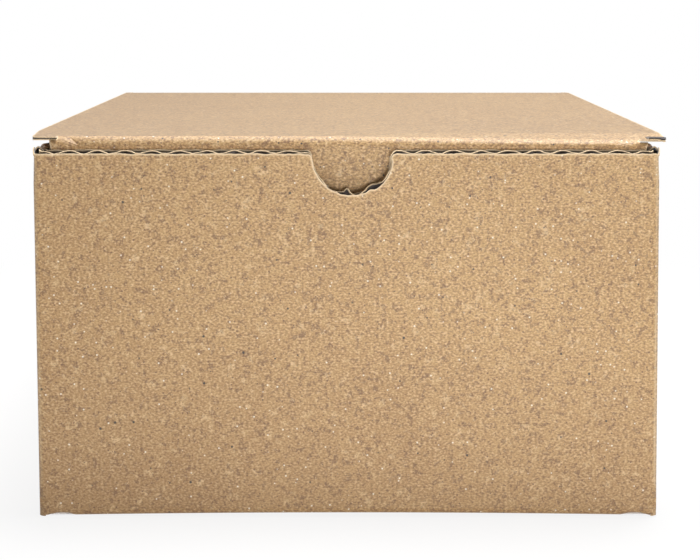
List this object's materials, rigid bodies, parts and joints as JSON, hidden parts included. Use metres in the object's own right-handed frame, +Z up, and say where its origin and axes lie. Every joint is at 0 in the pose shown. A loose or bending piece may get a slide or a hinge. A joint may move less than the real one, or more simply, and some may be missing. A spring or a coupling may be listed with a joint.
{
  "type": "cardboard box",
  "caption": "Closed tuck-top carton of corrugated board, with a lid that opens on its rear crease, a tuck flap, small ears and a thumb notch in the front wall.",
  "frame": {"origin": "middle of the underside, on the surface that the box stands on", "axes": "+Z up, +Y from the front wall with the thumb notch to the hinged back, +X to the right seen from the front"},
  "size_m": [0.1492, 0.18, 0.0902],
  "materials": {
    "kraft_board": "matt unbleached kraft liner with fine fibres and dark specks"
  },
  "bodies": {
    "carton": {"carton_body": "kraft_board"},
    "lid": {"lid": "kraft_board"}
  },
  "joints": [
    {"name": "lid_crease", "type": "hinge", "parent": "carton", "child": "lid", "pos_m": [0, 0.0885, 0.0887], "axis": [-1, 0, 0], "range_deg": [0, 180]}
  ]
}
